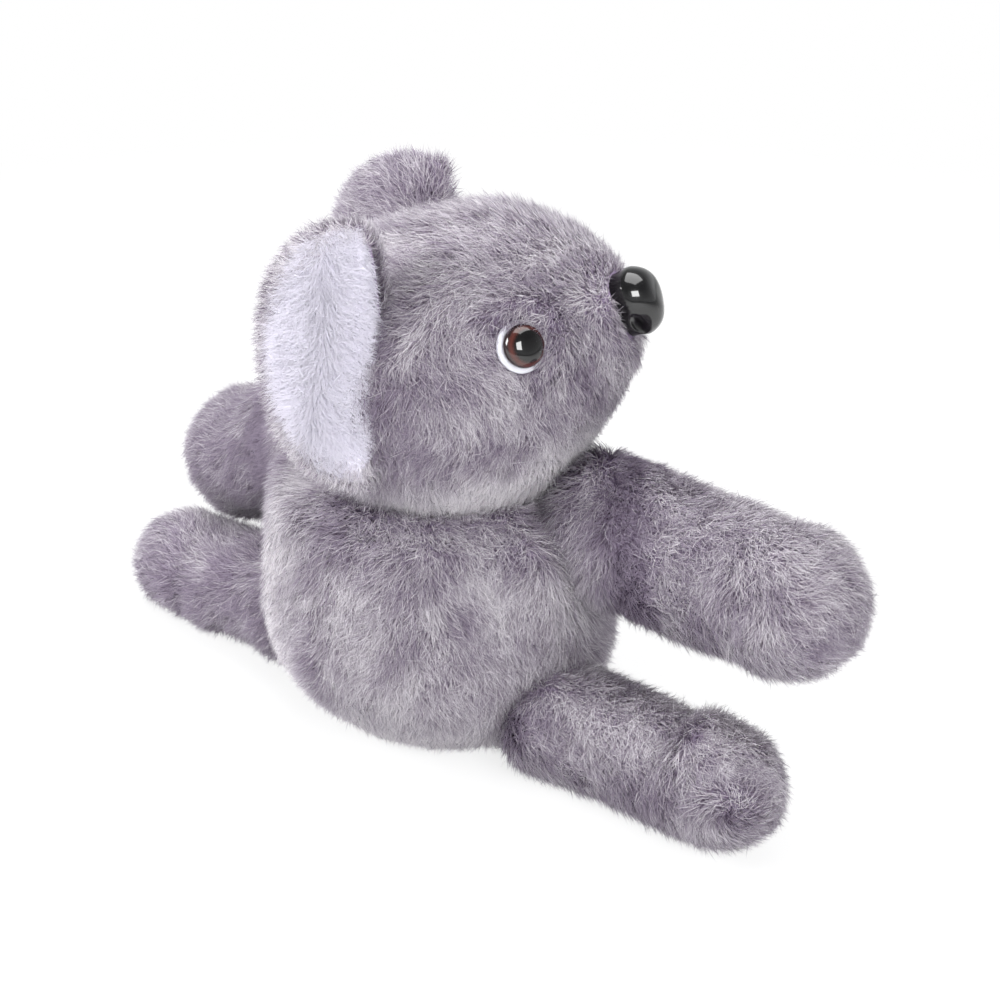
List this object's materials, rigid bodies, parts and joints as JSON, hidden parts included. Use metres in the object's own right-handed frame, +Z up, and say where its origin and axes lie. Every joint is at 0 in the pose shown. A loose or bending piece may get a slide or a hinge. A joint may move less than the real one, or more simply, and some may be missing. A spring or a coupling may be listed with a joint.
{
  "type": "plush koala",
  "caption": "Sitting plush koala with a turning head, floppy arms and legs, round ears with white fronts, moulded eyes and a moulded nose.",
  "frame": {"origin": "middle of the flat seat under the body, on the axis of the neck joint", "axes": "+Z up along the neck joint, -Y out of the belly, +X towards the toy's left side, where its head is turned"},
  "size_m": [0.2976, 0.1243, 0.1871],
  "materials": {
    "grey_fur": "long silky pile, light grey tips over purple grey roots",
    "white_fur": "long silky pile, white with a faint lilac cast",
    "filling": "loose polyester fibre",
    "eye_gloss": "clear gloss dome, brown iris and black pupil",
    "eye_white": "smooth white",
    "nose_black": "polished black",
    "nylon": "natural nylon"
  },
  "bodies": {
    "torso": {"body_cover": "grey_fur", "body_stuffing": "filling", "neck_plain_disc": "nylon"},
    "head": {"head_cover": "grey_fur", "head_stuffing": "filling", "neck_post_disc": "nylon", "neck_lock_washer": "nylon", "nose": "nose_black", "nose_washer": "nylon", "eye_left": "eye_gloss", "eye_left_ring": "eye_white", "eye_left_washer": "nylon", "eye_right": "eye_gloss", "eye_right_ring": "eye_white", "eye_right_washer": "nylon"},
    "ear_left": {"ear_left_back": "grey_fur", "ear_left_front": "white_fur"},
    "ear_right": {"ear_right_back": "grey_fur", "ear_right_front": "white_fur"},
    "arm_left": {"arm_left_cover": "grey_fur", "arm_left_stuffing": "filling"},
    "arm_right": {"arm_right_cover": "grey_fur", "arm_right_stuffing": "filling"},
    "leg_left": {"leg_left_cover": "grey_fur", "leg_left_stuffing": "filling"},
    "leg_right": {"leg_right_cover": "grey_fur", "leg_right_stuffing": "filling"}
  },
  "joints": [
    {"name": "neck_swivel", "type": "hinge", "parent": "torso", "child": "head", "pos_m": [0, 0, 0.09], "axis": [0, 0, 1], "range_deg": [-224, 0]},
    {"name": "ear_left_bend", "type": "hinge", "parent": "head", "child": "ear_left", "pos_m": [-0.03144, 0.03511, 0.13642], "axis": [0.0256, 0.1228, 0.9921], "range_deg": [-12, 12], "stiffness_Nm_per_rad": 0.02},
    {"name": "ear_right_bend", "type": "hinge", "parent": "head", "child": "ear_right", "pos_m": [0.00801, -0.04119, 0.14541], "axis": [0.0256, 0.1228, 0.9921], "range_deg": [-12, 12], "stiffness_Nm_per_rad": 0.02},
    {"name": "shoulder_left", "type": "hinge", "parent": "torso", "child": "arm_left", "pos_m": [0.06, 0.016, 0.076], "axis": [0, -1, 0], "range_deg": [-3, 15]},
    {"name": "shoulder_right", "type": "hinge", "parent": "torso", "child": "arm_right", "pos_m": [-0.06, 0.016, 0.076], "axis": [0, 1, 0], "range_deg": [0, 38]},
    {"name": "hip_left", "type": "hinge", "parent": "torso", "child": "leg_left", "pos_m": [0.057, -0.005, 0.0195], "axis": [0, 0, -1], "range_deg": [-10, 25]},
    {"name": "hip_right", "type": "hinge", "parent": "torso", "child": "leg_right", "pos_m": [-0.057, -0.005, 0.0195], "axis": [0, 0, 1], "range_deg": [-10, 25]}
  ]
}
